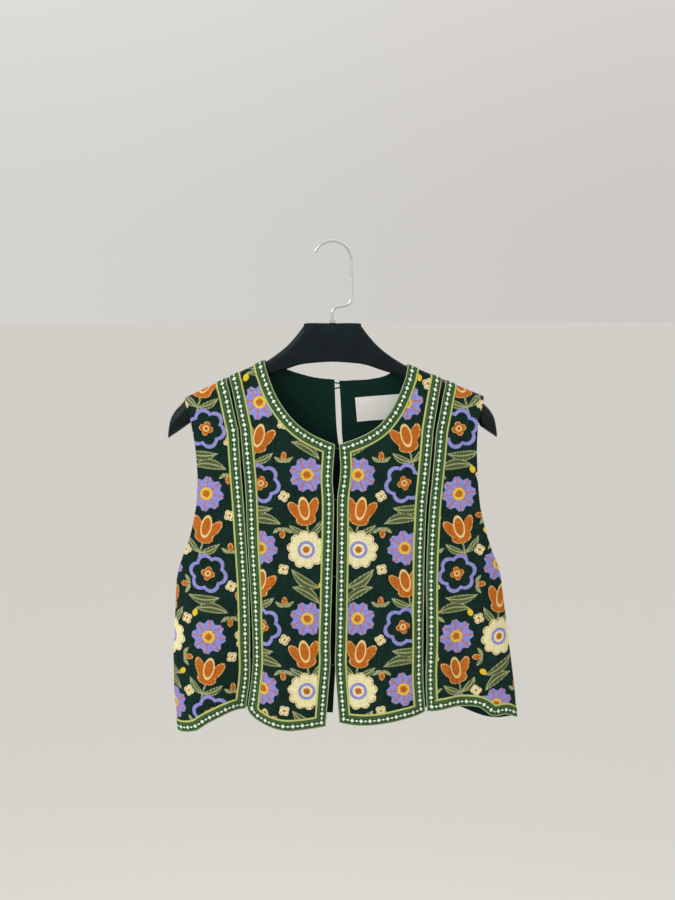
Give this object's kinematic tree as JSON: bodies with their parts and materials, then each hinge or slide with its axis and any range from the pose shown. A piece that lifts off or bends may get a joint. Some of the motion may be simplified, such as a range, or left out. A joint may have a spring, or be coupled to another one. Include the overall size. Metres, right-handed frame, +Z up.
{
  "type": "waistcoat on a hanger",
  "caption": "Cropped open-front waistcoat with slit front panels and taped edges, hung on a moulded hanger with a wire hook.",
  "frame": {"origin": "inner top of the wire hook, where a rail carries the hanger", "axes": "+Z up, the front of the garment faces -Y, +X to the viewer's right when the front is seen"},
  "size_m": [0.4635, 0.0657, 0.6494],
  "materials": {
    "printed_linen": "bottle-green linen with an all-over block print of flowers, plain inside",
    "woven_tape": "woven green tape with a row of pale diamonds and a lime edge",
    "thread": "dark green twisted thread",
    "button": "small dark green button",
    "label": "blank off-white woven satin",
    "hanger_plastic": "satin black moulded plastic",
    "hook_steel": "bright plated wire"
  },
  "bodies": {
    "root": {"front_centre_left": "printed_linen", "front_centre_right": "printed_linen", "front_side_left": "printed_linen", "front_side_right": "printed_linen", "back_left": "printed_linen", "back_right": "printed_linen", "tape_neck_left": "woven_tape", "tape_neck_right": "woven_tape", "tape_centre_left": "woven_tape", "tape_centre_right": "woven_tape", "tape_slit_centre_left": "woven_tape", "tape_slit_centre_right": "woven_tape", "tape_slit_side_left": "woven_tape", "tape_slit_side_right": "woven_tape", "tape_hem_centre_left": "woven_tape", "tape_hem_centre_right": "woven_tape", "tape_hem_side_left": "woven_tape", "tape_hem_side_right": "woven_tape", "tape_hem_back_left": "woven_tape", "tape_hem_back_right": "woven_tape", "bar_centre_1": "thread", "bar_centre_2": "thread", "bar_centre_3": "thread", "bar_centre_4": "thread", "bar_slit_left_1": "thread", "bar_slit_left_2": "thread", "bar_slit_left_3": "thread", "bar_slit_right_1": "thread", "bar_slit_right_2": "thread", "bar_slit_right_3": "thread", "neck_loop": "thread", "neck_button": "button", "label": "label", "hanger_body": "hanger_plastic", "hanger_arm_left": "hanger_plastic", "hanger_arm_right": "hanger_plastic", "hook_ferrule": "hook_steel", "hook_wire": "hook_steel"}
  },
  "joints": []
}
